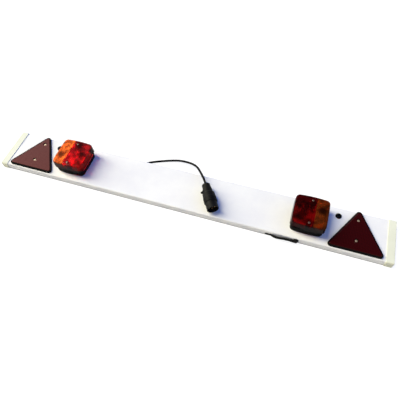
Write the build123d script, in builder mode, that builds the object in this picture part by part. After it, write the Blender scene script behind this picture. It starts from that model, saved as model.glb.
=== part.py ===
from build123d import *
import os
from math import radians, tan

# Trailer lighting board, lying face up on its end caps. Millimetres.
# X runs along the board to the right lamp, Y to its upper edge in use, Z out of its face.
# The origin is on the floor, under the middle of the board.

# Board
overall_length = 1220.0
board_width = 134.0
board_height = 19.2
board_wall = 2.5
board_edge_radius = 3.5
board_root_radius = 1.0
rib_distance = 7.5
rib_width = 1.6
rib_height = 2.0
notch_width = 27.0
notch_height = 9.6
notch_corner_radius = 4.0
near_notch_x = 275.5
far_notch_x = -172.0

# End caps
cap_length = 21.0
cap_wall = 1.8
cap_end_wall = 2.5
cap_clearance = 0.15
cap_corner_radius = 4.5
cap_edge_radius = 1.2
cap_tongue_length = 12.0
cap_tongue_thickness = 2.0
cap_tongue_width = 36.0
cap_tongue_gap = 3.0

# Lashing grommets
lashing_end_distance = 158.0
lashing_edge_distance = 28.0
lashing_bore = 9.0
lashing_neck = 13.0
lashing_flange = 18.0
lashing_flange_thickness = 2.0

# Reflectors
reflector_end_distance = 103.5
reflector_edge_distance = 4.0
reflector_side = 160.0
reflector_corner_radius = 9.0
reflector_tray_height = 5.5
reflector_tray_draft = 4.0
reflector_rim = 3.6
reflector_seat_depth = 2.2
reflector_lens_thickness = 3.8
reflector_lens_chamfer = 1.0
reflector_lens_clearance = 0.15
reflector_screw_spacing = 66.0
reflector_screw_edge_distance = 34.0
reflector_screw_depth = 1.5

# M5 fixings for the reflectors and lamps
fixing_diameter = 5.0
fixing_hole = 5.4
fixing_washer_diameter = 11.0
fixing_washer_thickness = 1.0
fixing_washer_bore = 5.2
fixing_nut_width = 8.0
fixing_nut_height = 4.0
fixing_nut_bore = 5.1
fixing_tail = 1.5
pan_head_diameter = 8.4
pan_head_height = 2.4
pan_head_chamfer = 1.0
pan_head_recess = 10.4
hex_head_width = 8.0
hex_head_height = 3.4

# Lamp housings
lamp_end_distance = 240.0
lamp_offset = 2.0
lamp_edge_bow = 3.5
lamp_side_bow = 1.0
base_width = 92.0
base_depth = 95.0
base_height = 22.5
base_corner_radius = 11.0
base_draft = 3.0
base_wall = 2.5
base_floor = 3.0
gasket_thickness = 1.5
gasket_width = 3.0
window_margin = 13.5
window_height = 10.0
lamp_bolt_inset = 11.0

# Lamp lenses
lens_overhang = 2.3
lens_height = 26.0
lens_corner_radius = 13.0
lens_draft = 3.0
lens_edge_radius = 5.0
lens_wall = 2.5
lens_split = 12.0
flute_width = 5.6
flute_depth = 1.4
flute_length = 58.0
flute_margin = 2.5
lens_screw_inset = 10.5
lens_screw_diameter = 4.0
lens_screw_length = 32.0
lens_screw_head = 7.6
lens_screw_head_height = 2.6
lens_screw_recess_depth = 4.0
lens_screw_recess = 8.6
lens_boss_diameter = 12.0
lens_hole = 4.4
post_diameter = 10.0

# Bulbs and their plate
plate_side_clearance = 1.0
plate_corner_radius = 8.0
plate_lift = 8.0
plate_thickness = 2.0
plate_foot_diameter = 6.0
plate_foot_inset = 11.0
plate_post_clearance = 0.4
divider_thickness = 1.6
divider_clearance = 0.4
indicator_u = 29.0
stop_u = -20.0
bulb_axis_lift = 13.4
bulb_cap_diameter = 15.0
bulb_cap_length = 15.0
bulb_cap_proud = 1.5
bulb_glass_diameter = 25.0
bulb_glass_length = 34.0
bulb_neck_diameter = 13.6
holder_wall = 1.2
holder_clearance = 0.15
holder_length = 15.0
holder_edge_distance = 26.0
holder_foot_width = 12.0

# Wiring inside the channel
entry_u = -20.0
entry_v = 20.0
entry_hole = 13.0
entry_flange = 16.0
entry_flange_thickness = 1.5
entry_bore_clearance = 0.05
lead_end_height = 7.0
lead_diameter = 7.0
lead_bend_radius = 5.5
link_diameter = 6.0
link_edge_distance = 13.0
link_z = 11.5
link_drop_radius = 5.0
link_bend_radius = 18.0
clip_count = 5
clip_span = 600.0
clip_size = 18.0
clip_base_thickness = 2.0
clip_ring_wall = 1.4
clip_ring_width = 6.0
clip_clearance = 0.1

# Exit boot in the near flange
boot_z = 11.2
boot_neck = 10.0
boot_flange = 15.5
boot_flange_thickness = 1.6
boot_barb = 13.0
boot_barb_thickness = 1.8
boot_hub = 10.4
boot_depth = 7.8
boot_chamfer = 1.8
boot_axis_distance = 4.4
boot_nozzle_reach = 14.0
boot_nozzle_root = 8.6
boot_nozzle_tip = 8.2

# Trailing cable
cable_diameter = 7.0
cable_arc_share = 0.45
hank_centre = (30.0, -5.0)
hank_run = 125.0
hank_turns = 4
hank_first_radius = 21.5
hank_pitch = 7.4
hank_floor = 1.2
hank_layer_step = 7.2
tie_thickness = 1.0
tie_width = 9.0

# Plug, lying on the face
plug_rear = (58.0, 24.3)
plug_direction = (0.507, -0.862)
plug_gap = 0.2
plug_length = 90.0
plug_diameter = 39.5
gland_diameter = 25.0
gland_mouth_diameter = 19.0
gland_grip_count = 10
gland_grip_diameter = 2.6
gland_clearance = 0.3
cover_start = 14.0
cover_neck_diameter = 26.5
cover_neck_end = 33.0
cover_neck_end_diameter = 30.0
cover_shoulder_diameter = 36.5
cover_shoulder_length = 2.5
cover_end = 50.0
cover_diameter = 38.4
cover_wall = 2.4
cover_rear_wall = 4.0
collar_end = 67.0
collar_chamfer = 1.0
collar_groove_depth = 1.0
collar_groove_width = 2.4
collar_groove_pitch = 5.5
collar_groove_count = 2
skirt_diameter = 35.0
skirt_wall = 2.2
spigot_length = 8.0
spigot_clearance = 0.15
spigot_wall = 3.0
insert_start = 57.0
insert_end = 69.0
insert_clearance = 0.1
contact_diameter = 4.6
contact_start = 52.0
contact_end = 81.0
contact_ring_diameter = 20.4
contact_count = 6
contact_tip_chamfer = 0.8
key_width = 5.0
key_length = 12.0
key_depth = 1.2
lug_start = 21.0
lug_tip = 26.5
lug_end = 38.0
lug_reach = 21.5
lug_width = 7.0

# Places worked out from the sizes
board_length = overall_length - 2 * cap_end_wall
flange_z = cap_wall + cap_clearance
face_z = flange_z + board_height
back_z = face_z - board_wall
near_y = -board_width / 2
far_y = board_width / 2
lashing_x = overall_length / 2 - lashing_end_distance
lashing_y = far_y - lashing_edge_distance
reflector_x = overall_length / 2 - reflector_end_distance
reflector_radius = reflector_side / 3**0.5
reflector_y = near_y + reflector_edge_distance + reflector_radius / 2
reflector_screw_low = near_y + reflector_edge_distance + reflector_screw_edge_distance
reflector_screw_ys = (reflector_screw_low, reflector_screw_low + reflector_screw_spacing)
reflector_seat_z = face_z + reflector_tray_height - reflector_seat_depth
reflector_head_z = reflector_seat_z - reflector_screw_depth
lamp_x = overall_length / 2 - lamp_end_distance
rim_spread = 2 * base_height * tan(radians(base_draft))
rim_width = base_width + rim_spread
rim_depth = base_depth + rim_spread
lens_width = rim_width + 2 * lens_overhang
lens_depth = rim_depth + 2 * lens_overhang
window_length = base_depth - 2 * window_margin
lens_screw_spacing = base_depth - 2 * lens_screw_inset
plate_width = base_width - 2 * (base_wall + plate_side_clearance)
plate_depth = base_depth - 2 * (base_wall + plate_side_clearance)
lamp_bolt_spacing = lens_screw_spacing - 2 * lamp_bolt_inset
plate_foot_u = plate_width / 2 - plate_foot_inset
plate_foot_v = plate_depth / 2 - plate_foot_inset
holder_v = plate_depth / 2 - holder_edge_distance
bulb_cap_v = holder_v - bulb_cap_proud
rim_z = face_z + base_height
lens_z = rim_z + gasket_thickness
lens_top = lens_z + lens_height
lens_ceiling = lens_top - lens_wall
plate_z = face_z + plate_lift
plate_top = plate_z + plate_thickness
bulb_axis_z = plate_top + bulb_axis_lift
lens_screw_vs = (-lens_screw_spacing / 2, lens_screw_spacing / 2)
lamp_bolt_vs = (-lamp_bolt_spacing / 2, lamp_bolt_spacing / 2)
fixing_nut_z = back_z - fixing_washer_thickness - fixing_nut_height
fixing_end_z = fixing_nut_z - fixing_tail
lead_end_z = face_z + lead_end_height
link_y = far_y - link_edge_distance
boot_x = lamp_x + entry_u
boot_axis_y = near_y - boot_axis_distance
plug_axis_z = face_z + plug_gap + plug_diameter / 2
hank_radius = hank_first_radius + (hank_turns - 1) * hank_pitch + cable_diameter / 2
hank_hole_radius = hank_first_radius - cable_diameter / 2
hank_height = hank_layer_step + cable_diameter
sides = {"left": -1, "right": 1}
bulbs = {"indicator": indicator_u, "stop": stop_u}

# The cable's route from the exit boot to the hank, and from the hank to the plug
front_route = [
    (336.0, -71.4, 11.2),
    (321.0, -71.4, 11.2),
    (306.0, -72.0, 9.8),
    (288.0, -71.3, 7.2),
    (270.0, -62.6, 4.9),
    (248.0, -55.0, 4.4),
    (222.0, -50.8, 4.5),
    (189.0, -49.2, 4.7),
    (147.0, -48.7, 4.8),
    (105.0, -48.7, 4.75),
]
plug_route = [
    (-40.0, -48.7, 11.9),
    (-66.0, -48.6, 11.6),
    (-98.0, -47.0, 9.6),
    (-129.0, -41.5, 6.6),
    (-157.0, -29.0, 4.7),
    (-179.0, -8.0, 4.0),
    (-189.0, 18.0, 3.8),
    (-186.0, 44.0, 3.7),
    (-170.0, 66.0, 3.7),
    (-147.0, 81.5, 3.7),
    (-119.0, 94.0, 3.7),
    (-88.0, 105.5, 4.0),
    (-59.5, 112.5, 6.0),
    (-32.0, 109.5, 11.5),
    (-7.0, 101.0, 19.5),
    (11.5, 88.0, 26.5),
    (23.7, 72.3, 32.3),
    (35.0, 58.0, 36.8),
    (45.0, 44.4, 39.9),
    (53.7, 31.6, 41.1),
    (60.0, 20.9, 41.1),
]


def save(piece, name):
    """Label a finished piece and write it to its own file."""
    piece.part.label = name
    export_step(piece.part, f"parts/{name}.step")


def at_lamp(side, u, v, z):
    """A point of a lamp: u runs outboard from the lamp's middle, v to the board's upper edge."""
    return (side * (lamp_x + u), lamp_offset + v, z)


def reflector_points(z):
    """Where the reflectors are screwed to the board."""
    return [(side * reflector_x, y, z) for side in sides.values() for y in reflector_screw_ys]


def lamp_bolt_points(z):
    """Where the lamps are bolted to the board."""
    return [at_lamp(side, 0, v, z) for side in sides.values() for v in lamp_bolt_vs]


def link_entry_points(z):
    """Where the link lead goes up into each lamp."""
    return [at_lamp(side, entry_u, entry_v, z) for side in sides.values()]


def lead_entry_point(z):
    """Where the right lamp's own lead goes up into it."""
    return at_lamp(sides["right"], entry_u, -entry_v, z)


def corner_radii(points):
    """The arc at each corner of a route: a share of its shorter run over the tangent of half the turn."""
    vectors = [Vector(*point) for point in points]
    radii = []
    for before, corner, after in zip(vectors, vectors[1:], vectors[2:]):
        first = corner - before
        second = after - corner
        turn = radians(first.get_angle(second))
        radii.append(cable_arc_share * min(first.length, second.length) / tan(turn / 2))
    return radii


# Board: one extrusion, with its holes and the two notches for the cable
def make_board():
    with BuildPart() as board:
        with BuildSketch(Plane.YZ.offset(-board_length / 2)) as profile:
            with Locations((0, flange_z)):
                Rectangle(board_width, board_height, align=(Align.CENTER, Align.MIN))
            fillet(profile.vertices().group_by(Axis.Y)[-1], board_edge_radius)
            with Locations((0, flange_z)):
                Rectangle(
                    board_width - 2 * board_wall,
                    board_height - board_wall,
                    align=(Align.CENTER, Align.MIN),
                    mode=Mode.SUBTRACT,
                )
            roots = profile.vertices().sort_by(lambda corner: abs(corner.Y - back_z))[:2]
            fillet(roots, board_root_radius)
            with Locations((-rib_distance, back_z), (rib_distance, back_z)):
                Rectangle(rib_width, rib_height, align=(Align.CENTER, Align.MAX))
        extrude(amount=board_length)
        with Locations(*[(side * lashing_x, lashing_y, face_z) for side in sides.values()]):
            Hole(lashing_neck / 2, depth=board_wall)
        with Locations(*reflector_points(face_z), *lamp_bolt_points(face_z)):
            Hole(fixing_hole / 2, depth=board_wall)
        with Locations(*link_entry_points(face_z), lead_entry_point(face_z)):
            Hole(entry_hole / 2, depth=board_wall)
        with BuildSketch(Plane.XZ.offset(board_width / 2)):
            with Locations((boot_x, boot_z)):
                Circle(boot_neck / 2)
        extrude(amount=-board_wall, mode=Mode.SUBTRACT)
        for notch_x, outer_y, inward in ((near_notch_x, near_y, -1), (far_notch_x, far_y, 1)):
            with BuildSketch(Plane.XZ.offset(-outer_y)) as notch:
                with Locations((notch_x, flange_z)):
                    Rectangle(notch_width, notch_height, align=(Align.CENTER, Align.MIN))
                fillet(notch.vertices().group_by(Axis.Y)[-1], notch_corner_radius)
            extrude(amount=inward * board_wall, mode=Mode.SUBTRACT)
    return board


# End caps: a sleeve closed at its end, with tongues that grip the face from behind
def make_end_cap(side):
    mouth = Plane(
        origin=(side * (overall_length / 2 - cap_length), 0, 0), x_dir=(0, side, 0), z_dir=(side, 0, 0)
    )
    sleeve_height = board_height + 2 * (cap_wall + cap_clearance)
    sleeve_width = board_width + 2 * (cap_wall + cap_clearance)
    cavity_depth = cap_length - cap_end_wall
    tongue_offset = rib_distance + cap_tongue_gap + cap_tongue_width / 2
    tongue_z = back_z - cap_clearance
    with BuildPart() as cap:
        with BuildSketch(mouth) as outer:
            Rectangle(sleeve_width, sleeve_height, align=(Align.CENTER, Align.MIN))
            fillet(outer.vertices().group_by(Axis.Y)[-1], cap_corner_radius)
        extrude(amount=cap_length)
        end_face = cap.faces().sort_by(Axis.X)[-1 if side > 0 else 0]
        fillet(end_face.edges(), cap_edge_radius)
        with BuildSketch(mouth) as cavity:
            with Locations((0, cap_wall)):
                Rectangle(
                    board_width + 2 * cap_clearance,
                    board_height + 2 * cap_clearance,
                    align=(Align.CENTER, Align.MIN),
                )
            fillet(cavity.vertices().group_by(Axis.Y)[-1], board_edge_radius)
        extrude(amount=cavity_depth, mode=Mode.SUBTRACT)
        with BuildSketch(mouth.offset(cavity_depth)):
            with Locations((-tongue_offset, tongue_z), (tongue_offset, tongue_z)):
                Rectangle(cap_tongue_width, cap_tongue_thickness, align=(Align.CENTER, Align.MAX))
        extrude(amount=-cap_tongue_length)
    return cap


def make_lashing_grommet(side):
    """A rubber grommet snapped into a lashing hole."""
    neck = lashing_neck / 2
    flange = lashing_flange / 2
    bore = lashing_bore / 2
    thickness = lashing_flange_thickness
    centre = (side * lashing_x, lashing_y, 0)
    with BuildPart() as grommet:
        with BuildSketch(Plane(origin=centre, x_dir=(1, 0, 0), z_dir=(0, -1, 0))):
            with BuildLine():
                Polyline(
                    (bore, back_z - thickness),
                    (flange, back_z - thickness),
                    (flange, back_z),
                    (neck, back_z),
                    (neck, face_z),
                    (flange, face_z),
                    (flange, face_z + thickness / 2),
                    (flange - thickness / 2, face_z + thickness),
                    (bore + thickness / 2, face_z + thickness),
                    (bore, face_z + thickness / 2),
                    close=True,
                )
            make_face()
        revolve(axis=Axis(centre, (0, 0, 1)))
    return grommet


# Reflectors: a black tray screwed to the board, with the red face let into it
def reflector_outline(inset):
    """The rounded triangle, drawn in by an inset."""
    triangle = RegularPolygon(reflector_radius - 2 * inset, 3, rotation=90)
    fillet(triangle.vertices(), reflector_corner_radius - inset)


def reflector_plane(side, z):
    """The triangle's middle, at a height."""
    return Plane(origin=(side * reflector_x, reflector_y, z))


def make_reflector_tray(side):
    with BuildPart() as tray:
        with BuildSketch(reflector_plane(side, face_z)):
            reflector_outline(0)
        extrude(amount=reflector_tray_height, taper=reflector_tray_draft)
        with BuildSketch(reflector_plane(side, reflector_seat_z)):
            reflector_outline(reflector_rim)
        extrude(amount=reflector_seat_depth, mode=Mode.SUBTRACT)
        with Locations(*[(side * reflector_x, y, reflector_seat_z) for y in reflector_screw_ys]):
            CounterBoreHole(fixing_hole / 2, pan_head_recess / 2, reflector_screw_depth)
    return tray


def make_reflector_lens(side):
    with BuildPart() as lens:
        with BuildSketch(reflector_plane(side, reflector_seat_z)):
            reflector_outline(reflector_rim + reflector_lens_clearance)
        extrude(amount=reflector_lens_thickness)
        chamfer(lens.edges().group_by(Axis.Z)[-1], reflector_lens_chamfer)
        top_z = reflector_seat_z + reflector_lens_thickness
        with Locations(*[(side * reflector_x, y, top_z) for y in reflector_screw_ys]):
            Hole(pan_head_recess / 2, depth=reflector_lens_thickness)
    return lens


# Fixings
def make_pan_screws(points, end_z):
    """Pan-head screws whose heads sit at the points."""
    shank = points[0][2] - end_z
    with BuildPart() as screws:
        with Locations(*points):
            Cylinder(pan_head_diameter / 2, pan_head_height, align=(Align.CENTER, Align.CENTER, Align.MIN))
        chamfer(screws.edges().group_by(Axis.Z)[-1], pan_head_chamfer)
        with Locations(*points):
            Cylinder(fixing_diameter / 2, shank, align=(Align.CENTER, Align.CENTER, Align.MAX))
    return screws


def make_hex_bolts(points, end_z):
    """Hexagon-head bolts whose heads sit at the points."""
    shank = points[0][2] - end_z
    with BuildPart() as bolts:
        with BuildSketch(Plane.XY.offset(points[0][2])):
            with Locations(*[(x, y) for x, y, _ in points]):
                RegularPolygon(hex_head_width / 2, 6, major_radius=False)
        extrude(amount=hex_head_height)
        with Locations(*points):
            Cylinder(fixing_diameter / 2, shank, align=(Align.CENTER, Align.CENTER, Align.MAX))
    return bolts


def make_washers(points):
    with BuildPart() as washers:
        with BuildSketch(Plane.XY.offset(back_z)):
            with Locations(*[(x, y) for x, y, _ in points]):
                Circle(fixing_washer_diameter / 2)
                Circle(fixing_washer_bore / 2, mode=Mode.SUBTRACT)
        extrude(amount=-fixing_washer_thickness)
    return washers


def make_nuts(points):
    with BuildPart() as nuts:
        with BuildSketch(Plane.XY.offset(fixing_nut_z)):
            with Locations(*[(x, y) for x, y, _ in points]):
                RegularPolygon(fixing_nut_width / 2, 6, major_radius=False)
                Circle(fixing_nut_bore / 2, mode=Mode.SUBTRACT)
        extrude(amount=fixing_nut_height)
    return nuts


def make_lens_screws():
    """The long screws that hold each lens down to the posts of its housing."""
    head_z = lens_top - lens_screw_recess_depth
    points = [at_lamp(side, 0, v, head_z) for side in sides.values() for v in lens_screw_vs]
    with BuildPart() as screws:
        with Locations(*points):
            Cylinder(
                lens_screw_head / 2, lens_screw_head_height, align=(Align.CENTER, Align.CENTER, Align.MIN)
            )
        chamfer(screws.edges().group_by(Axis.Z)[-1], pan_head_chamfer)
        with Locations(*points):
            Cylinder(
                lens_screw_diameter / 2, lens_screw_length, align=(Align.CENTER, Align.CENTER, Align.MAX)
            )
    return screws


# Lamp housing
def lamp_outline(width, depth, radius):
    """A rounded rectangle whose sides bow out to its width and depth."""
    corner_u = width / 2 - lamp_side_bow
    corner_v = depth / 2 - lamp_edge_bow
    with BuildSketch() as outline:
        with BuildLine():
            ThreePointArc((-corner_u, -corner_v), (0, -depth / 2), (corner_u, -corner_v))
            ThreePointArc((corner_u, -corner_v), (width / 2, 0), (corner_u, corner_v))
            ThreePointArc((corner_u, corner_v), (0, depth / 2), (-corner_u, corner_v))
            ThreePointArc((-corner_u, corner_v), (-width / 2, 0), (-corner_u, -corner_v))
        make_face()
        fillet(outline.vertices(), radius)
    return outline.sketch


def housing_section(height, inset):
    """The housing's outline at a height above its foot, drawn in by an inset."""
    growth = 2 * (height * tan(radians(base_draft)) - inset)
    return lamp_outline(base_width + growth, base_depth + growth, base_corner_radius - inset)


def make_housing_block(side, low, inset):
    """The drafted block of a housing from a height up to its rim, drawn in by an inset."""
    with BuildPart() as block:
        for height in (low, base_height):
            with BuildSketch(Plane(origin=at_lamp(side, 0, 0, face_z + height))):
                add(housing_section(height, inset))
        loft()
    return block


def make_housing_shell(side):
    """The drafted wall and floor of a housing."""
    outer = make_housing_block(side, 0, 0)
    inner = make_housing_block(side, base_floor, base_wall)
    with BuildPart() as shell:
        add(outer.part)
        add(inner.part, mode=Mode.SUBTRACT)
    return shell


def window_block(side, mode):
    """The block that the number-plate window takes out of the inboard wall."""
    with Locations(at_lamp(side, -base_width / 2, 0, rim_z)):
        Box(
            4 * base_wall,
            window_length,
            window_height,
            align=(Align.CENTER, Align.CENTER, Align.MAX),
            mode=mode,
        )


def make_lamp_base(side):
    floor_z = face_z + base_floor
    feet = [(u, v) for u in (-plate_foot_u, plate_foot_u) for v in (-plate_foot_v, plate_foot_v)]
    entry_vs = [entry_v] if side < 0 else [entry_v, -entry_v]
    upright = (Align.CENTER, Align.CENTER, Align.MIN)
    shell = make_housing_shell(side)
    with BuildPart() as base:
        add(shell.part)
        window_block(side, Mode.SUBTRACT)
        with Locations(*[at_lamp(side, 0, v, floor_z) for v in lens_screw_vs]):
            Cylinder(post_diameter / 2, rim_z - floor_z, align=upright)
        with Locations(*[at_lamp(side, u, v, floor_z) for u, v in feet]):
            Cylinder(plate_foot_diameter / 2, plate_z - floor_z, align=upright)
        with Locations(*[at_lamp(side, 0, v, rim_z) for v in lens_screw_vs]):
            Hole(lens_screw_diameter / 2, depth=rim_z - floor_z)
        with Locations(*[at_lamp(side, 0, v, floor_z) for v in lamp_bolt_vs]):
            Hole(fixing_hole / 2, depth=base_floor)
        with Locations(*[at_lamp(side, entry_u, v, floor_z) for v in entry_vs]):
            Hole(entry_hole / 2, depth=base_floor)
    return base


def make_plate_window(side):
    shell = make_housing_shell(side)
    with BuildPart() as window:
        add(shell.part)
        window_block(side, Mode.INTERSECT)
    return window


def make_lens_gasket(side):
    """A rubber ring on the housing's rim, with holes over the posts."""
    tab_height = (rim_depth - gasket_width - lens_screw_spacing) / 2
    tab_v = (lens_screw_spacing + tab_height) / 2
    with BuildPart() as gasket:
        with BuildSketch(Plane(origin=at_lamp(side, 0, 0, rim_z))):
            add(lamp_outline(rim_width, rim_depth, base_corner_radius))
            inner_width = rim_width - 2 * gasket_width
            inner_depth = rim_depth - 2 * gasket_width
            inner = lamp_outline(inner_width, inner_depth, base_corner_radius - gasket_width)
            add(inner, mode=Mode.SUBTRACT)
            with Locations((0, -tab_v), (0, tab_v)):
                Rectangle(post_diameter / 2, tab_height)
            with Locations(*[(0, v) for v in lens_screw_vs]):
                Circle(post_diameter / 2)
                Circle(lens_hole / 2, mode=Mode.SUBTRACT)
        extrude(amount=gasket_thickness)
    return gasket


# Lens: one drafted shell, fluted inside, welded from an amber and a red moulding
def make_lens(side, first_u, last_u, keep):
    """The part of the lens on one side of the weld, with its flutes between two places."""
    middle = at_lamp(side, 0, 0, lens_z)
    bosses = [at_lamp(side, 0, v, lens_z) for v in lens_screw_vs]
    flute_count = int((last_u - first_u) / flute_width)
    flute_us = [first_u + (index + 0.5) * flute_width for index in range(flute_count)]
    weld = Plane(origin=at_lamp(side, lens_split, 0, lens_z), z_dir=(side, 0, 0))
    with BuildPart() as lens:
        with BuildSketch(Plane(origin=middle)):
            add(lamp_outline(lens_width, lens_depth, lens_corner_radius))
        extrude(amount=lens_height, taper=lens_draft)
        fillet(lens.edges().group_by(Axis.Z)[-1], lens_edge_radius)
        with BuildSketch(Plane(origin=middle)):
            inner_width = lens_width - 2 * lens_wall
            inner_depth = lens_depth - 2 * lens_wall
            add(lamp_outline(inner_width, inner_depth, lens_corner_radius - lens_wall))
        extrude(amount=lens_height - lens_wall, taper=lens_draft, mode=Mode.SUBTRACT)
        with Locations(*bosses):
            Cylinder(
                lens_boss_diameter / 2,
                lens_height - lens_wall,
                align=(Align.CENTER, Align.CENTER, Align.MIN),
            )
        with Locations(*[(x, y, lens_top) for x, y, _ in bosses]):
            CounterBoreHole(lens_hole / 2, lens_screw_recess / 2, lens_screw_recess_depth)
        with BuildSketch(Plane.XZ.offset(-lamp_offset - flute_length / 2)):
            with Locations(*[(side * (lamp_x + u), lens_ceiling) for u in flute_us]):
                Polygon(
                    (-flute_width / 2, 0), (0, -flute_depth), (flute_width / 2, 0), align=None
                )
        extrude(amount=flute_length)
        split(bisect_by=weld, keep=keep)
    return lens


# Bulbs, their holders and the plate that carries them
def make_bulb_plate(side):
    middle = at_lamp(side, 0, 0, plate_z)
    post_hole = post_diameter / 2 + plate_post_clearance
    divider_height = lens_ceiling - divider_clearance - plate_top
    with BuildPart() as plate:
        with BuildSketch(Plane(origin=middle)):
            add(lamp_outline(plate_width, plate_depth, plate_corner_radius))
            with Locations(*[(0, v) for v in lens_screw_vs]):
                Circle(post_hole, mode=Mode.SUBTRACT)
        extrude(amount=plate_thickness)
        with Locations(at_lamp(side, lens_split, 0, plate_top)):
            Box(
                divider_thickness,
                plate_depth - 2 * plate_corner_radius,
                divider_height,
                align=(Align.CENTER, Align.CENTER, Align.MIN),
            )
    return plate


def bulb_profile_plane(side, u):
    """The upright plane through a bulb's axis: local X is Y, local Y is height above the axis."""
    x, y, z = at_lamp(side, u, 0, bulb_axis_z)
    return Plane(origin=(x, y, z), x_dir=(0, 1, 0), z_dir=(1, 0, 0))


def make_bulb_holder(side, u):
    outer = bulb_cap_diameter / 2 + holder_clearance + holder_wall
    bore = bulb_cap_diameter / 2 + holder_clearance
    cup = bulb_profile_plane(side, u)
    mouth = Plane(origin=at_lamp(side, u, holder_v, bulb_axis_z), z_dir=(0, 1, 0))
    with BuildPart() as holder:
        with BuildSketch(mouth):
            Circle(outer)
        extrude(amount=holder_length)
        with Locations(at_lamp(side, u, holder_v, plate_top)):
            Box(
                holder_foot_width,
                holder_length,
                bulb_axis_z - plate_top,
                align=(Align.CENTER, Align.MIN, Align.MIN),
            )
        with BuildSketch(cup):
            with Locations((holder_v, 0)):
                Rectangle(holder_length - holder_wall, bore, align=(Align.MIN, Align.MIN))
        revolve(axis=Axis(cup.origin, (0, 1, 0)), mode=Mode.SUBTRACT)
    return holder


def make_bulb_cap(side, u):
    with BuildPart() as cap:
        with BuildSketch(Plane(origin=at_lamp(side, u, bulb_cap_v, bulb_axis_z), z_dir=(0, 1, 0))):
            Circle(bulb_cap_diameter / 2)
        extrude(amount=bulb_cap_length)
    return cap


def make_bulb_glass(side, u):
    """A sealed globe on a short neck, which the cap closes."""
    globe = bulb_glass_diameter / 2
    neck = bulb_neck_diameter / 2
    globe_v = bulb_cap_v - bulb_glass_length + globe
    meet = (globe**2 - neck**2) ** 0.5
    plane = bulb_profile_plane(side, u)
    with BuildPart() as glass:
        with BuildSketch(plane):
            with BuildLine():
                outline = ThreePointArc(
                    (globe_v + meet, neck), (globe_v, globe), (globe_v - globe, 0)
                )
                Polyline(outline @ 0, (bulb_cap_v, neck), (bulb_cap_v, 0), outline @ 1)
            make_face()
        revolve(axis=Axis(plane.origin, (0, 1, 0)))
    return glass


# Wiring inside the channel
def make_entry_grommets():
    """Grommets where the leads pass through the board and the lamps' floors."""
    bottom = back_z - entry_flange_thickness
    inner_floor = face_z + base_floor
    height = inner_floor + entry_flange_thickness - bottom
    link_points = link_entry_points(bottom)
    lead_point = lead_entry_point(bottom)
    points = [*link_points, lead_point]
    upright = (Align.CENTER, Align.CENTER, Align.MIN)
    with BuildPart() as grommets:
        with Locations(*points):
            Cylinder(entry_hole / 2, height, align=upright)
            Cylinder(entry_flange / 2, entry_flange_thickness, align=upright)
        with Locations(*[(x, y, inner_floor) for x, y, _ in points]):
            Cylinder(entry_flange / 2, entry_flange_thickness, align=upright)
        with Locations(*[(x, y, bottom + height) for x, y, _ in link_points]):
            Hole(link_diameter / 2 + entry_bore_clearance, depth=height)
        with Locations((lead_point[0], lead_point[1], bottom + height)):
            Hole(lead_diameter / 2 + entry_bore_clearance, depth=height)
    return grommets


def make_tube(points, radii, diameter):
    """A round cable along straight runs joined by tangent arcs."""
    with BuildPart() as tube:
        with BuildLine() as route:
            FilletPolyline(*points, radius=radii)
        with BuildSketch(Plane(origin=route.line @ 0, z_dir=route.line % 0)):
            Circle(diameter / 2)
        sweep(path=route.line)
    return tube


def make_lamp_lead():
    """The lead from inside the right lamp down to the exit boot."""
    x, y, _ = lead_entry_point(0)
    inner_y = near_y + board_wall + boot_barb_thickness
    points = [(x, y, lead_end_z), (x, y, boot_z), (x, inner_y, boot_z)]
    return make_tube(points, [lead_bend_radius], lead_diameter)


def make_link_lead():
    """The lead that joins the two lamps along the channel's upper side."""
    left, right = link_entry_points(0)
    points = [
        (right[0], right[1], lead_end_z),
        (right[0], right[1], link_z),
        (right[0], link_y, link_z),
        (left[0], link_y, link_z),
        (left[0], left[1], link_z),
        (left[0], left[1], lead_end_z),
    ]
    radii = [link_drop_radius, link_bend_radius, link_bend_radius, link_drop_radius]
    return make_tube(points, radii, link_diameter)


def make_link_clips():
    """Stick-on clips that hold the link lead behind the face."""
    spacing = clip_span / (clip_count - 1)
    clip_xs = [-clip_span / 2 + index * spacing for index in range(clip_count)]
    ring_bore = link_diameter / 2 + clip_clearance
    ring = ring_bore + clip_ring_wall
    with BuildPart() as clips:
        with Locations(*[(x, link_y, back_z) for x in clip_xs]):
            Box(clip_size, clip_size, clip_base_thickness, align=(Align.CENTER, Align.CENTER, Align.MAX))
        with Locations(*[(x, link_y, back_z) for x in clip_xs]):
            Box(clip_ring_width, 2 * ring, back_z - link_z, align=(Align.CENTER, Align.CENTER, Align.MAX))
        for x in clip_xs:
            with BuildSketch(Plane.YZ.offset(x)):
                with Locations((link_y, link_z)):
                    Circle(ring)
            extrude(amount=clip_ring_width / 2, both=True)
            with BuildSketch(Plane.YZ.offset(x)):
                with Locations((link_y, link_z)):
                    Circle(ring_bore)
            extrude(amount=clip_size / 2, both=True, mode=Mode.SUBTRACT)
    return clips


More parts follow.
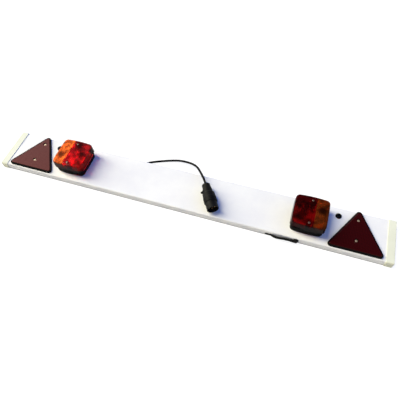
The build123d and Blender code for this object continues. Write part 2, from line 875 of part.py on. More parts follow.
def make_exit_boot():
    """A moulded right-angle boot: a plug in the near flange, with a nozzle along it."""
    neck_plane = Plane(origin=(boot_x, near_y, boot_z), x_dir=(1, 0, 0), z_dir=(0, -1, 0))
    nozzle_plane = Plane(origin=(boot_x, boot_axis_y, boot_z), x_dir=(0, 1, 0), z_dir=(-1, 0, 0))
    with BuildPart() as boot:
        with BuildSketch(neck_plane):
            Circle(boot_hub / 2)
        extrude(amount=boot_depth)
        chamfer(boot.edges().group_by(Axis.Y)[0], boot_chamfer)
        with BuildSketch(neck_plane):
            Circle(boot_flange / 2)
        extrude(amount=boot_flange_thickness)
        with BuildSketch(nozzle_plane):
            Circle(boot_nozzle_root / 2)
        with BuildSketch(nozzle_plane.offset(boot_nozzle_reach)):
            Circle(boot_nozzle_tip / 2)
        loft()
        with BuildSketch(neck_plane):
            Circle(boot_neck / 2)
        extrude(amount=-board_wall)
        with BuildSketch(neck_plane.offset(-board_wall)):
            Circle(boot_barb / 2)
        extrude(amount=-boot_barb_thickness)
    return boot


# Trailing cable: two free stretches and the put-away length as one tied hank
def make_hank():
    """The outer shape of the folded cable."""
    with BuildPart() as hank:
        with BuildSketch(Plane(origin=(*hank_centre, hank_floor))):
            SlotCenterToCenter(hank_run, 2 * hank_radius)
            SlotCenterToCenter(hank_run, 2 * hank_hole_radius, mode=Mode.SUBTRACT)
        extrude(amount=hank_height)
    return hank


def make_hank_ties():
    """A strap round each side of the hank."""
    bundle = hank_radius - hank_hole_radius
    offset_y = (hank_radius + hank_hole_radius) / 2
    middle = Plane(
        origin=(hank_centre[0], hank_centre[1], hank_floor + hank_height / 2),
        x_dir=(0, 1, 0),
        z_dir=(1, 0, 0),
    )
    with BuildPart() as ties:
        with BuildSketch(middle):
            with Locations((-offset_y, 0), (offset_y, 0)):
                Rectangle(bundle + 2 * tie_thickness, hank_height + 2 * tie_thickness)
                Rectangle(bundle, hank_height, mode=Mode.SUBTRACT)
        extrude(amount=tie_width / 2, both=True)
    return ties


def make_cord_run(points, hank):
    """A free stretch of the cable, cut where it runs into the hank."""
    radii = corner_radii(points)
    print("cable radii", [round(radius, 1) for radius in radii])
    tube = make_tube(points, radii, cable_diameter)
    with BuildPart() as run:
        add(tube.part)
        add(hank.part, mode=Mode.SUBTRACT)
    return run


# Plug: every piece is turned about one axis, from its cable end
plug_axis_direction = Vector(plug_direction[0], plug_direction[1], 0).normalized()
plug_origin = Vector(plug_rear[0], plug_rear[1], plug_axis_z)
plug_axis = Axis(plug_origin, plug_axis_direction)
plug_section = Plane(
    origin=plug_origin, x_dir=plug_axis_direction, z_dir=plug_axis_direction.cross(Vector(0, 0, 1))
)


def plug_plane(distance):
    """The plane across the plug at a distance from its cable end."""
    return Plane(
        origin=plug_origin + plug_axis_direction * distance, x_dir=(0, 0, 1), z_dir=plug_axis_direction
    )


def make_turned(points):
    """A closed outline of (distance, radius) points turned about the plug's axis."""
    with BuildPart() as turned:
        with BuildSketch(plug_section):
            with BuildLine():
                Polyline(*points, close=True)
            make_face()
        revolve(axis=plug_axis)
    return turned


def make_plug_gland_nut():
    bore = cable_diameter / 2 + gland_clearance
    outer = gland_diameter / 2
    mouth = gland_mouth_diameter / 2
    blank = make_turned(
        [(0, bore), (0, mouth), (outer - mouth, outer), (cover_start, outer), (cover_start, bore)]
    )
    with BuildPart() as nut:
        add(blank.part)
        with BuildSketch(plug_plane(0)):
            with PolarLocations(outer, gland_grip_count):
                Circle(gland_grip_diameter / 2)
        extrude(amount=cover_start, mode=Mode.SUBTRACT)
    return nut


def make_plug_cover():
    bore = cable_diameter / 2 + gland_clearance
    neck = cover_neck_diameter / 2
    neck_end = cover_neck_end_diameter / 2
    shoulder = cover_shoulder_diameter / 2
    shoulder_end = cover_neck_end + cover_shoulder_length
    outer = cover_diameter / 2
    side_plane = Plane(origin=plug_origin, x_dir=plug_axis_direction, z_dir=(0, 0, -1))
    blank = make_turned(
        [
            (cover_start, 0),
            (cover_start, neck),
            (cover_neck_end, neck_end),
            (cover_neck_end, shoulder - cover_shoulder_length),
            (shoulder_end, shoulder),
            (cover_end, outer),
            (cover_end, 0),
        ]
    )
    hollow = make_turned(
        [
            (cover_start, 0),
            (cover_start, bore),
            (cover_start + cover_rear_wall, bore),
            (cover_start + cover_rear_wall, neck - cover_wall),
            (shoulder_end, neck_end - cover_wall),
            (shoulder_end + cover_wall, shoulder - cover_wall),
            (cover_end, outer - cover_wall),
            (cover_end, 0),
        ]
    )
    with BuildPart() as cover:
        add(blank.part)
        with BuildSketch(side_plane):
            with BuildLine():
                Polyline(
                    (lug_start, 0), (lug_start, neck), (lug_tip, lug_reach), (lug_end, 0), close=True
                )
            make_face()
        extrude(amount=lug_width / 2, both=True)
        add(hollow.part, mode=Mode.SUBTRACT)
    return cover


def spigot_radius(distance):
    """The radius inside the cover's front, less the clearance, at a distance along the plug."""
    start = cover_neck_end + cover_shoulder_length + cover_wall
    rear = cover_shoulder_diameter / 2 - cover_wall
    front = cover_diameter / 2 - cover_wall
    share = (distance - start) / (cover_end - start)
    return rear + share * (front - rear) - spigot_clearance


def make_plug_body():
    collar = plug_diameter / 2
    skirt = skirt_diameter / 2
    bore = skirt - skirt_wall
    spigot_start = cover_end - spigot_length
    wire_bore = spigot_radius(spigot_start) - spigot_wall
    blank = make_turned(
        [
            (spigot_start, wire_bore),
            (spigot_start, spigot_radius(spigot_start)),
            (cover_end, spigot_radius(cover_end)),
            (cover_end, collar - collar_chamfer),
            (cover_end + collar_chamfer, collar),
            (collar_end - collar_chamfer, collar),
            (collar_end, collar - collar_chamfer),
            (collar_end, skirt),
            (plug_length, skirt),
            (plug_length, bore),
            (insert_start, bore),
            (insert_start, wire_bore),
        ]
    )
    with BuildPart() as body:
        add(blank.part)
        for index in range(collar_groove_count):
            start = collar_end - (index + 1) * collar_groove_pitch
            with BuildSketch(plug_plane(start)):
                Circle(collar + collar_groove_depth)
                Circle(collar - collar_groove_depth, mode=Mode.SUBTRACT)
            extrude(amount=collar_groove_width, mode=Mode.SUBTRACT)
        with BuildSketch(plug_plane(plug_length)):
            Rectangle(bore + key_depth, key_width, align=(Align.MAX, Align.CENTER))
        extrude(amount=-key_length, mode=Mode.SUBTRACT)
    return body


def contact_holes(radius, mode):
    """One circle for each contact: a ring and the one in the middle."""
    Circle(radius, mode=mode)
    with PolarLocations(contact_ring_diameter / 2, contact_count):
        Circle(radius, mode=mode)


def make_plug_insert():
    with BuildPart() as insert:
        with BuildSketch(plug_plane(insert_start)):
            Circle(skirt_diameter / 2 - skirt_wall - insert_clearance)
            contact_holes(contact_diameter / 2, Mode.SUBTRACT)
        extrude(amount=insert_end - insert_start)
    return insert


def make_plug_contacts():
    with BuildPart() as contacts:
        with BuildSketch(plug_plane(contact_start)):
            contact_holes(contact_diameter / 2, Mode.ADD)
        extrude(amount=contact_end - contact_start)
        tips = contacts.faces().filter_by(Plane(origin=(0, 0, 0), z_dir=plug_axis_direction))
        chamfer([edge for face in tips for edge in face.edges()], contact_tip_chamfer)
    return contacts


def main():
    os.makedirs("parts", exist_ok=True)
    save(make_board(), "board")
    flute_limit = lens_width / 2 - lens_edge_radius
    for name, side in sides.items():
        save(make_end_cap(side), f"end_cap_{name}")
        save(make_lashing_grommet(side), f"lashing_grommet_{name}")
        save(make_reflector_tray(side), f"reflector_tray_{name}")
        save(make_reflector_lens(side), f"reflector_lens_{name}")
        save(make_lamp_base(side), f"lamp_base_{name}")
        save(make_plate_window(side), f"plate_window_{name}")
        save(make_lens_gasket(side), f"lens_gasket_{name}")
        amber_start = lens_split + flute_margin
        red_end = lens_split - flute_margin
        save(make_lens(side, amber_start, flute_limit, Keep.TOP), f"lens_amber_{name}")
        save(make_lens(side, -flute_limit, red_end, Keep.BOTTOM), f"lens_red_{name}")
        save(make_bulb_plate(side), f"bulb_plate_{name}")
        for use, u in bulbs.items():
            save(make_bulb_holder(side, u), f"{use}_holder_{name}")
            save(make_bulb_cap(side, u), f"{use}_bulb_cap_{name}")
            save(make_bulb_glass(side, u), f"{use}_bulb_glass_{name}")
    save(make_pan_screws(reflector_points(reflector_head_z), fixing_end_z), "reflector_screws")
    save(make_washers(reflector_points(back_z)), "reflector_washers")
    save(make_nuts(reflector_points(back_z)), "reflector_nuts")
    save(make_hex_bolts(lamp_bolt_points(face_z + base_floor), fixing_end_z), "lamp_bolts")
    save(make_washers(lamp_bolt_points(back_z)), "lamp_washers")
    save(make_nuts(lamp_bolt_points(back_z)), "lamp_nuts")
    save(make_lens_screws(), "lens_screws")
    save(make_entry_grommets(), "entry_grommets")
    save(make_lamp_lead(), "lamp_lead")
    save(make_link_lead(), "link_lead")
    save(make_link_clips(), "link_clips")
    save(make_exit_boot(), "exit_boot")
    hank = make_hank()
    save(hank, "cord_hank")
    save(make_hank_ties(), "hank_ties")
    save(make_cord_run(front_route, hank), "cord_front_run")
    save(make_cord_run(plug_route, hank), "cord_plug_run")
    save(make_plug_gland_nut(), "plug_gland_nut")
    save(make_plug_cover(), "plug_cover")
    save(make_plug_body(), "plug_body")
    save(make_plug_insert(), "plug_insert")
    save(make_plug_contacts(), "plug_contacts")


main()
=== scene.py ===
"""Looks of the trailer lighting board: its cable, screws and finishes, and the stage it is shown on."""
import math

import bmesh
import bpy
from bpy.props import FloatProperty, FloatVectorProperty, IntProperty, PointerProperty
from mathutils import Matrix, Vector


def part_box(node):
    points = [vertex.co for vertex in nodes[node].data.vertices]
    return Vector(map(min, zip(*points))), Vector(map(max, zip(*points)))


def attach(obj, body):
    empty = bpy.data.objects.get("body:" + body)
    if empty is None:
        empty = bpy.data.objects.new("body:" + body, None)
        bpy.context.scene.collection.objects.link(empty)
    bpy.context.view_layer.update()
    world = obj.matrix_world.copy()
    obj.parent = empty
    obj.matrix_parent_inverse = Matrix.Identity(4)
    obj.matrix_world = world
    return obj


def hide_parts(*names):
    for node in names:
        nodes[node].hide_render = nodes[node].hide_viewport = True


bl_info = {
    "name": "Trailer lighting board",
    "version": (1, 0, 0),
    "blender": (4, 5, 0),
    "location": "View3D > Sidebar > Lighting board",
    "description": "Finishes the packed lighting board and sets up its stage",
    "category": "Object",
}

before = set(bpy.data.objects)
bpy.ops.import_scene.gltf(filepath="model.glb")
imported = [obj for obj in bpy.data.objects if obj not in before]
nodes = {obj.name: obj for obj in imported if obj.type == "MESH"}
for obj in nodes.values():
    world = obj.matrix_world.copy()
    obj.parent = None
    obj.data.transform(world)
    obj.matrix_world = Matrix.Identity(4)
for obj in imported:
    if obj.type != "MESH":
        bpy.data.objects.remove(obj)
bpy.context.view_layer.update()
SIDES = ("left", "right")

# The cable's route from the exit boot to the hank, and from the hank to the plug, in metres
FRONT_ROUTE = [
    (0.3360, -0.0714, 0.0112),
    (0.3210, -0.0714, 0.0112),
    (0.3070, -0.0722, 0.0098),
    (0.2910, -0.0721, 0.0074),
    (0.2755, -0.0634, 0.0052),
    (0.2560, -0.0546, 0.0045),
    (0.2260, -0.0504, 0.0045),
    (0.1890, -0.0492, 0.0047),
    (0.1470, -0.0487, 0.0048),
    (0.1050, -0.0487, 0.00475),
]
PLUG_ROUTE = [
    (-0.0400, -0.0487, 0.0119),
    (-0.0660, -0.0486, 0.0116),
    (-0.0980, -0.0470, 0.0096),
    (-0.1290, -0.0415, 0.0066),
    (-0.1570, -0.0290, 0.0047),
    (-0.1790, -0.0080, 0.0040),
    (-0.1890, 0.0180, 0.0038),
    (-0.1860, 0.0440, 0.0037),
    (-0.1700, 0.0660, 0.0037),
    (-0.1470, 0.0815, 0.0037),
    (-0.1190, 0.0940, 0.0037),
    (-0.0880, 0.1055, 0.0040),
    (-0.0595, 0.1125, 0.0060),
    (-0.0320, 0.1095, 0.0115),
    (-0.0070, 0.1010, 0.0195),
    (0.0115, 0.0880, 0.0265),
    (0.0237, 0.0723, 0.0323),
    (0.0350, 0.0580, 0.0368),
    (0.0450, 0.0444, 0.0399),
    (0.0537, 0.0316, 0.0411),
    (0.0600, 0.0209, 0.0411),
]
# Blender's resolution round the cable, its steps between points and the order of its spline
SHEATH_RESOLUTION = 4
CABLE_STEPS = 6
CABLE_ORDER = 3
# Shares of the hank's straight runs at which its control points lie
NEAR_SHARES = (1 / 3, 2 / 3)
FAR_SHARES = (0, 1 / 6, 1 / 3, 1 / 2, 2 / 3, 5 / 6, 1)
# Share of a far run in which a turn of the hank moves over to the next one
MOVE_SHARE = 1 / 3
CABLE_NODES = ("cord_front_run", "cord_hank", "cord_plug_run")
PLUG_MOULDINGS = ("plug_gland_nut", "plug_cover", "plug_body", "plug_insert")
LEFT_LAMP_NODES = (
    "lens_amber_left",
    "lens_red_left",
    "bulb_plate_left",
    "indicator_holder_left",
    "stop_holder_left",
    "indicator_bulb_glass_left",
    "stop_bulb_glass_left",
)
# Middle, inner radius and outer radius of each round in the lenses that is painted darker: painted shade of
# the lamp's inside behind it
LENS_SHADE_ROUNDS = (
    ((-0.402, -0.012, 0.0), 0.006, 0.019),
    ((-0.340, 0.002, 0.0), 0.007, 0.020),
    ((-0.360, 0.034, 0.0), 0.008, 0.020),
    ((-0.336, -0.038, 0.0), 0.006, 0.022),
    ((0.401, 0.012, 0.0), 0.006, 0.019),
    ((0.336, 0.010, 0.0), 0.003, 0.014),
    ((0.337, -0.024, 0.0), 0.004, 0.015),
)
# Heights between which a reflector changes from painted shade on its lower edge and in its screw wells to
# its face
REFLECTOR_SHADE_RISE = (0.0276, 0.0281)
WELL_SHADE_BLACK = (0.002, 0.001, 0.001, 1.0)
# Heights between which a lens changes from painted shade on its lower walls and rim to its top
SHADE_TOP = (0.0660, 0.0722)
# Sets of ridges that cross to make the prisms of a reflector or lens
RIDGE_SETS = 3
DUST_GREY = (0.42, 0.41, 0.40, 1.0)
SCRATCH_GREY = (0.66, 0.66, 0.68, 1.0)
# How much of a scratch's grey shows on the board
SCRATCH_SHARE = 0.5
REFLECTOR_SHEEN = (1.0, 0.32, 0.27, 1.0)
LENS_IOR = 1.13
# What the roughness of a moulding changes by where its grain is smoother and where it is rougher
SMOOTHER = -0.05
ROUGHER = 0.07
# How much rougher the dull patches of a metal are
DULL_ROUGHNESS = 0.15
# Stage: what the lamps look at, the colours of floor and room, and where the room's light changes
BOARD_MIDDLE = (0.0, 0.0, 0.0)
LEFT_SIDE = (-0.4, 0.0, 0.0)
LEFT_LAMP = (-0.37, 0.0, 0.05)
PLAIN_LIGHT = (1.0, 1.0, 1.0)
ROOM_WHITE = (1.0, 1.0, 1.0, 1.0)
FLOOR_BOUNCE = (0.72, 0.70, 0.645, 1.0)
FLOOR_SHADE = (0.22, 0.22, 0.22, 1.0)
FLOOR_GLOW = 0.88
BACK_RIGHT = (0.6, 0.8, 0.0)
WALL_CHANGE = (-0.3, 0.5)
CEILING_CHANGE = (0.70, 0.84)
# Screws: their places, and how their heads and tips are shaped
REFLECTOR_SCREW_XS = (-0.5065, 0.5065)
REFLECTOR_SCREW_YS = (-0.029, 0.037)
LENS_SCREW_XS = (-0.370, 0.370)
LENS_SCREW_YS = (-0.035, 0.039)
SCREW_SIDES = 32
DOME_SHARE = 0.55
DOME_STEPS = 5
TIP_SHARE = 0.1
SLOT_MARGIN = 1.02
SMOOTH_ANGLE = math.radians(35)
# Least upward or downward part of a normal by which a face counts as looking up or down
FACING = 0.9


def length_property(label, description, default):
    """A size in metres."""
    return FloatProperty(name=label, description=description, default=default, unit="LENGTH", precision=5)


def place_property(label, description, default):
    """A place in metres."""
    return FloatVectorProperty(name=label, description=description, default=default, unit="LENGTH")


def power_property(label, description, default):
    """The power of a softbox in watts."""
    return FloatProperty(name=label, description=description, default=default, unit="POWER")


def colour_property(label, description, default):
    """A linear colour with full alpha."""
    return FloatVectorProperty(
        name=label,
        description=description,
        default=(*default, 1.0),
        subtype="COLOR",
        size=4,
        min=0.0,
        max=1.0,
    )


class CableSizes(bpy.types.PropertyGroup):
    """Sizes of the trailing cable and the hank that it is put away in."""

    diameter: length_property("Diameter", "Outside diameter of the cable's sheath", 0.007)
    length: length_property("Length", "Whole length from the boot to the plug", 4.0)
    hank_run: length_property("Hank run", "Straight length between the folds of the hank", 0.125)
    first_radius: length_property("Inner fold", "Radius of the hank's innermost fold", 0.0215)
    pitch: length_property("Turn spacing", "Distance from one turn of the hank to the next", 0.0074)
    low_layer: length_property("Lower layer", "Height of the hank's lower layer", 0.0047)
    layer_step: length_property("Layer step", "Height from the lower layer to the upper one", 0.0072)
    hank_centre: FloatVectorProperty(
        name="Hank centre",
        description="Middle of the hank",
        default=(0.030, -0.005),
        size=2,
        unit="LENGTH",
    )
    turns: IntProperty(name="Turns", description="Turns in each layer of the hank", default=4, min=2)
    fold_points: IntProperty(name="Fold points", description="Points in each fold", default=8, min=6)


class StageSizes(bpy.types.PropertyGroup):
    """Camera, lamps and floor."""

    camera_place: place_property("Camera place", "Where the camera stands", (0.2673, -0.5841, 0.98))
    camera_turn: FloatVectorProperty(
        name="Camera turn",
        description="Turn of the camera",
        default=(0.5593, 0.03387, 0.30854),
        subtype="EULER",
    )
    camera_lens: FloatProperty(name="Lens", description="Focal length in millimetres", default=34.1)
    key_place: place_property("Key place", "Middle of the large softbox", (-13.65, 1.65, 12.75))
    key_width: length_property("Key width", "Level side of the large softbox", 6.75)
    key_height: length_property("Key height", "Upright side of the large softbox", 24.0)
    key_power: power_property("Key power", "Power of the large softbox", 6560.0)
    key_colour: FloatVectorProperty(
        name="Key colour",
        description="Colour of the large softbox",
        default=(1.0, 0.945, 0.71),
        subtype="COLOR",
    )
    fill_place: place_property("Fill place", "Middle of the front softbox", (0.7, -1.5, 1.3))
    fill_size: length_property("Fill size", "Side of the front softbox", 1.4)
    fill_power: power_property("Fill power", "Power of the front softbox", 2.5)
    panel_place: place_property("Panel place", "Middle of the dim panel", (-1.45, 0.83, 1.40))
    panel_size: length_property("Panel size", "Side of the dim panel", 1.0)
    panel_power: power_property("Panel power", "Power of the dim panel", 6.8)
    spark_place: place_property("Spark place", "Middle of the left lamp's softbox", (-0.30, -0.15, 0.95))
    spark_size: length_property("Spark size", "Side of the left lamp's softbox", 0.5)
    spark_power: power_property("Spark power", "Power of the left lamp's softbox", 118.0)
    world_front: colour_property("Front wall", "Light from the front and left", (0.36, 0.34, 0.28))
    world_back: colour_property("Back wall", "Light from the back and right", (0.05, 0.24, 1.00))
    world_high: colour_property("Ceiling", "Light from overhead", (0.05, 0.08, 0.22))
    mirrored_wall: colour_property("Mirrored wall", "Walls as gloss shows them", (0.22, 0.22, 0.23))
    mirrored_high: colour_property("Mirrored ceiling", "Ceiling as gloss shows it", (0.06, 0.07, 0.09))
    floor_size: length_property("Floor size", "Side of the floor", 60.0)
    floor_drop: length_property("Floor drop", "How far the floor lies under the board's caps", 0.0002)


class FinishColours(bpy.types.PropertyGroup):
    """Colours of the board's plastics, rubber, metals and lenses."""

    board_white: colour_property("Board white", "Colour of the extruded board", (0.84, 0.84, 0.85))
    board_shade: colour_property("Board shade", "Duller patches of the board", (0.79, 0.79, 0.82))
    cap_cream: colour_property("Cap cream", "Colour of the end caps", (0.79, 0.80, 0.67))
    cap_shade: colour_property("Cap shade", "Duller patches of the end caps", (0.74, 0.75, 0.61))
    moulding_black: colour_property("Moulding black", "Colour of black plastic", (0.0045, 0.0045, 0.005))
    moulding_grey: colour_property("Moulding grey", "Paler patches of black plastic", (0.009, 0.009, 0.010))
    rubber_black: colour_property("Rubber black", "Rubber, ties and matt plastic", (0.004, 0.004, 0.0045))
    rubber_grey: colour_property("Rubber grey", "Paler patches of rubber and ties", (0.009, 0.009, 0.010))
    sheath_black: colour_property("Sheath black", "Colour of the cables", (0.004, 0.004, 0.0045))
    sheath_grey: colour_property("Sheath grey", "Paler patches of the cables", (0.008, 0.008, 0.009))
    reflector_red: colour_property("Reflector red", "Lit cells of a reflector", (0.036, 0.001, 0.002))
    reflector_dark: colour_property("Reflector dark", "Dark cells of a reflector", (0.016, 0.0004, 0.0008))
    amber: colour_property("Amber", "Indicator part of a lens", (1.00, 0.19, 0.03))
    # Darker colour of the rounds: painted shade of the lamp's inside behind the indicator lens
    amber_round_shade: colour_property("Deep amber", "Clear rounds of the indicator lens", (0.11, 0.020, 0.006))
    red: colour_property("Red", "Stop part of a lens", (0.63, 0.023, 0.029))
    # Darker colour of the rounds: painted shade of the lamp's inside behind the stop lens
    red_round_shade: colour_property("Deep red", "Clear rounds of the stop lens", (0.05, 0.006, 0.007))
    # Painted shade on the lower walls and rim of the amber and red lenses
    amber_wall_shade: colour_property("Amber skirt", "Lower walls of the indicator lens", (0.05, 0.008, 0.002))
    red_wall_shade: colour_property("Red skirt", "Lower walls of the stop lens", (0.04, 0.001, 0.002))
    amber_light: colour_property("Amber light", "Light let in by the indicator lens", (0.19, 0.031, 0.01))
    red_light: colour_property("Red light", "Light let in by the stop lens", (0.50, 0.04, 0.04))
    clear_light: colour_property("Clear light", "Light let in by clear mouldings", (0.80, 0.80, 0.80))
    clear: colour_property("Clear", "Number-plate window", (0.30, 0.30, 0.31))
    bulb: colour_property("Bulb", "Glass of the bulbs", (0.55, 0.50, 0.48))
    clear_frost: colour_property("Frost", "Frosted parts of the window", (0.22, 0.22, 0.23))
    steel: colour_property("Steel", "Screws of the reflectors", (0.92, 0.80, 0.70))
    steel_dull: colour_property("Dull steel", "Duller parts of those screws", (0.74, 0.62, 0.54))
    screw_dull: colour_property("Dull screws", "Screws sunk in the lenses", (0.38, 0.34, 0.32))
    screw_dark: colour_property("Dark screws", "Dirt on those screws", (0.18, 0.16, 0.15))
    zinc: colour_property("Zinc", "Plated fixings and bulb holders", (0.62, 0.63, 0.64))
    zinc_dull: colour_property("Dull zinc", "Duller parts of plated metal", (0.46, 0.47, 0.50))
    brass: colour_property("Brass", "Bulb caps and contacts", (0.50, 0.31, 0.15))
    brass_dull: colour_property("Dull brass", "Tarnished brass", (0.32, 0.18, 0.09))
    lamp_white: colour_property("Lamp white", "Bulb plates and link clips", (0.85, 0.85, 0.84))
    lamp_shade: colour_property("Lamp shade", "Duller patches of those mouldings", (0.76, 0.76, 0.75))


class ScrewSizes(bpy.types.PropertyGroup):
    """Sizes of the cross-head screws."""

    reflector_head: length_property("Reflector head", "Diameter of a reflector screw's head", 0.0084)
    reflector_head_height: length_property("Reflector head height", "Height of that head", 0.0024)
    reflector_shank: length_property("Reflector shank", "Diameter of a reflector screw's shank", 0.005)
    lens_head: length_property("Lens head", "Diameter of a lens screw's head", 0.0076)
    lens_head_height: length_property("Lens head height", "Height of that head", 0.0026)
    lens_shank: length_property("Lens shank", "Diameter of a lens screw's shank", 0.004)
    slot_width: length_property("Slot width", "Width of the cross recess", 0.0011)
    slot_length: length_property("Slot length", "Length of the cross recess", 0.0046)
    slot_depth: length_property("Slot depth", "Depth of the cross recess", 0.0013)


class LightingBoardSettings(bpy.types.PropertyGroup):
    """Everything that a user would change."""

    cable: PointerProperty(type=CableSizes)
    screws: PointerProperty(type=ScrewSizes)
    stage: PointerProperty(type=StageSizes)
    colours: PointerProperty(type=FinishColours)


# Materials
def add_node(tree, kind, values=None):
    """A node with values on its named inputs."""
    node = tree.nodes.new(kind)
    for socket, value in (values or {}).items():
        node.inputs[socket].default_value = value
    return node


def colour_mix(tree, factor, first, second):
    """A colour between two others, each a plain colour or a socket."""
    mix = tree.nodes.new("ShaderNodeMix")
    mix.data_type = "RGBA"
    tree.links.new(factor, mix.inputs["Factor"])
    for socket, colour in (("A", first), ("B", second)):
        if isinstance(colour, bpy.types.NodeSocket):
            tree.links.new(colour, mix.inputs[socket])
        else:
            mix.inputs[socket].default_value = colour
    return mix.outputs["Result"]


def spread(tree, value, low, high, start=0.0, end=1.0):
    """A value stretched from one range to another."""
    ranges = {"From Min": start, "From Max": end, "To Min": low, "To Max": high}
    node = add_node(tree, "ShaderNodeMapRange", ranges)
    tree.links.new(value, node.inputs["Value"])
    return node.outputs["Result"]


def mask(tree, value, start, end):
    """A mask that goes from 0 to 1 as a value goes from a start to an end."""
    return spread(tree, value, 0.0, 1.0, start, end)


def arithmetic(tree, operation, first, second):
    """One step of arithmetic on two sockets or plain numbers."""
    node = tree.nodes.new("ShaderNodeMath")
    node.operation = operation
    for socket, value in zip(node.inputs, (first, second)):
        if isinstance(value, (int, float)):
            socket.default_value = value
        else:
            tree.links.new(value, socket)
    return node.outputs["Value"]


def object_place(tree, scale=(1.0, 1.0, 1.0), turn=(0.0, 0.0, 0.0)):
    """Object coordinates, turned and scaled."""
    place = tree.nodes.new("ShaderNodeTexCoord")
    mapping = add_node(tree, "ShaderNodeMapping", {"Scale": scale, "Rotation": turn})
    tree.links.new(place.outputs["Object"], mapping.inputs["Vector"])
    return mapping.outputs["Vector"]


def noise(tree, vector, scale, detail=2.0, roughness=0.5):
    """Noise over a set of coordinates."""
    node = add_node(tree, "ShaderNodeTexNoise", {"Scale": scale, "Detail": detail, "Roughness": roughness})
    tree.links.new(vector, node.inputs["Vector"])
    return node.outputs["Fac"]


def new_group(name, inputs, outputs):
    """A node group with float inputs and outputs."""
    group = bpy.data.node_groups.new(name, "ShaderNodeTree")
    for socket, default in inputs.items():
        made = group.interface.new_socket(socket, in_out="INPUT", socket_type="NodeSocketFloat")
        made.default_value = default
    for socket in outputs:
        group.interface.new_socket(socket, in_out="OUTPUT", socket_type="NodeSocketFloat")
    return group, group.nodes.new("NodeGroupInput"), group.nodes.new("NodeGroupOutput")


def make_moulded_grain():
    """Fine moulding texture, and soft patches of another tone and roughness."""
    group, given, made = new_group("moulded grain", {"Scale": 900.0}, ("Height", "Patches"))
    place = object_place(group)
    grain = add_node(group, "ShaderNodeTexNoise", {"Detail": 2.0})
    group.links.new(place, grain.inputs["Vector"])
    group.links.new(given.outputs["Scale"], grain.inputs["Scale"])
    group.links.new(grain.outputs["Fac"], made.inputs["Height"])
    patches = mask(group, noise(group, place, scale=14.0, detail=3.0, roughness=0.6), start=0.35, end=0.65)
    group.links.new(patches, made.inputs["Patches"])


def make_drawn_lines():
    """Faint lines along the board, as the extruder's die leaves them, and short scratches."""
    group, _, made = new_group("drawn lines", {}, ("Lines", "Scratches"))
    drawn = object_place(group, scale=(0.6, 260.0, 260.0))
    group.links.new(noise(group, drawn, scale=1.0), made.inputs["Lines"])
    slanted = object_place(group, scale=(9.0, 420.0, 420.0), turn=(0.0, 0.0, 0.05))
    fine = mask(group, noise(group, slanted, scale=1.0), start=0.66, end=0.74)
    broad = mask(group, noise(group, object_place(group), scale=9.0), start=0.5, end=0.62)
    group.links.new(arithmetic(group, "MULTIPLY", fine, broad), made.inputs["Scratches"])


def make_settled_dust():
    """Dust on faces that look up, thicker in patches."""
    group, given, made = new_group("settled dust", {"Amount": 0.3}, ("Mask",))
    geometry = group.nodes.new("ShaderNodeNewGeometry")
    upright = group.nodes.new("ShaderNodeSeparateXYZ")
    group.links.new(geometry.outputs["Normal"], upright.inputs["Vector"])
    facing = mask(group, upright.outputs["Z"], start=0.3, end=1.0)
    cloud = noise(group, object_place(group), scale=45.0, detail=4.0, roughness=0.6)
    dusty = arithmetic(group, "MULTIPLY", facing, mask(group, cloud, start=0.4, end=0.8))
    group.links.new(arithmetic(group, "MULTIPLY", dusty, given.outputs["Amount"]), made.inputs["Mask"])


def make_prism_cells():
    """The triangular prisms of a reflector or lens: three sets of ridges crossing at 60 degrees."""
    group, given, made = new_group("prism cells", {"Scale": 130.0}, ("Height", "Cells"))
    total = 0.0
    for index in range(RIDGE_SETS):
        wave = group.nodes.new("ShaderNodeTexWave")
        wave.wave_profile = "TRI"
        turned = object_place(group, turn=(0.0, 0.0, index * math.pi / RIDGE_SETS))
        group.links.new(turned, wave.inputs["Vector"])
        group.links.new(given.outputs["Scale"], wave.inputs["Scale"])
        total = arithmetic(group, "ADD", total, wave.outputs["Fac"])
    height = arithmetic(group, "DIVIDE", total, RIDGE_SETS)
    group.links.new(height, made.inputs["Height"])
    group.links.new(mask(group, height, start=0.3, end=0.7), made.inputs["Cells"])


def make_lens_zones():
    """Where a lens shows its own colour: all of it but its rounds of painted shade; and where it is above
    the painted shade on its lower walls.
    """
    group, _, made = new_group("lens zones", {}, ("Unshadowed", "Unshaded"))
    place = group.nodes.new("ShaderNodeSeparateXYZ")
    group.links.new(object_place(group), place.inputs["Vector"])
    flat = group.nodes.new("ShaderNodeCombineXYZ")
    group.links.new(place.outputs["X"], flat.inputs["X"])
    group.links.new(place.outputs["Y"], flat.inputs["Y"])
    colour_share = 1.0
    for centre, inner, outer in LENS_SHADE_ROUNDS:
        away = group.nodes.new("ShaderNodeVectorMath")
        away.operation = "DISTANCE"
        away.inputs[1].default_value = centre
        group.links.new(flat.outputs["Vector"], away.inputs[0])
        outside = mask(group, away.outputs["Value"], inner, outer)
        colour_share = arithmetic(group, "MULTIPLY", colour_share, outside)
    group.links.new(colour_share, made.inputs["Unshadowed"])
    group.links.new(mask(group, place.outputs["Z"], *SHADE_TOP), made.inputs["Unshaded"])


def use_group(tree, name, values=None):
    """A node group placed in a material with its own values."""
    node = tree.nodes.new("ShaderNodeGroup")
    node.node_tree = bpy.data.node_groups[name]
    for socket, value in (values or {}).items():
        node.inputs[socket].default_value = value
    return node


def new_finish(name, settings):
    """A material with plain values on its shader's own sockets."""
    material = bpy.data.materials.new(name)
    material.use_nodes = True
    shader = material.node_tree.nodes["Principled BSDF"]
    for socket, value in settings.items():
        shader.inputs[socket].default_value = value
    return material, material.node_tree, shader


def set_bump(tree, shader, height, strength, distance):
    """Relief on the shader's normal, with its depth in metres."""
    bump = add_node(tree, "ShaderNodeBump", {"Strength": strength, "Distance": distance})
    tree.links.new(height, bump.inputs["Height"])
    tree.links.new(bump.outputs["Normal"], shader.inputs["Normal"])


